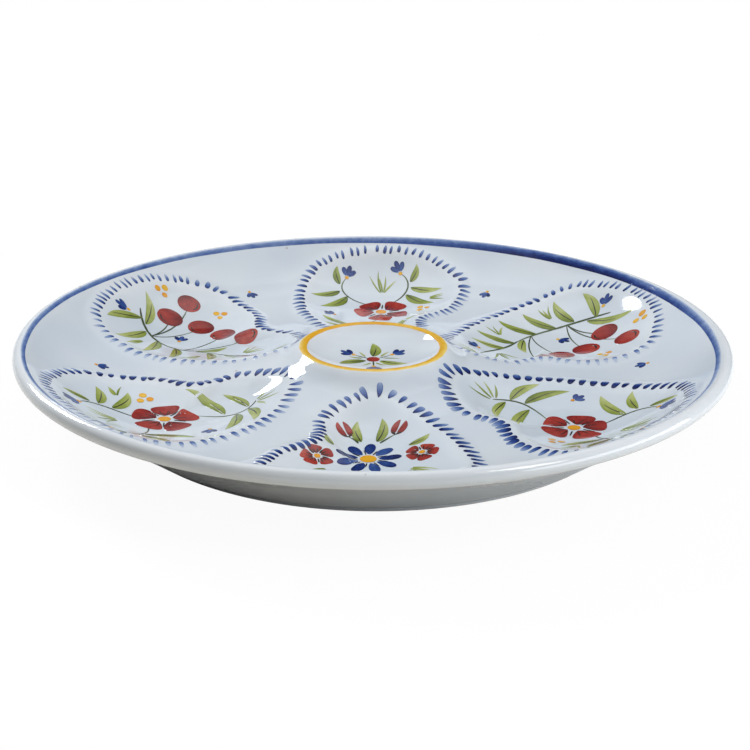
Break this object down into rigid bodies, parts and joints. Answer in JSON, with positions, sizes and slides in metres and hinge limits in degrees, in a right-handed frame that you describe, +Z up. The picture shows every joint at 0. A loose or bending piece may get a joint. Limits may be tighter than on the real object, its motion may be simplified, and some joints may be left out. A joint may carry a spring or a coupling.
{
  "type": "oyster plate",
  "caption": "Round dished oyster plate in white glazed earthenware with shell-shaped wells around a raised sauce cup, a rolled lip and a foot ring.",
  "frame": {"origin": "on the table, under the middle of the plate", "axes": "+Z up, the plate's axis; -Y towards the viewer in the picture, along the axis of one well"},
  "size_m": [0.25, 0.25, 0.0283],
  "materials": {
    "tin_glaze": "gloss white tin glaze with a cool cast",
    "bare_clay": "unglazed buff earthenware",
    "cobalt": "brushed cobalt blue under the gloss",
    "ochre": "brushed ochre yellow under the gloss",
    "leaf_green": "brushed olive green under the gloss",
    "brick_red": "brushed iron red under the gloss"
  },
  "bodies": {
    "root": {"dish": "tin_glaze", "sauce_cup": "tin_glaze", "foot_ring": "bare_clay"}
  },
  "joints": []
}
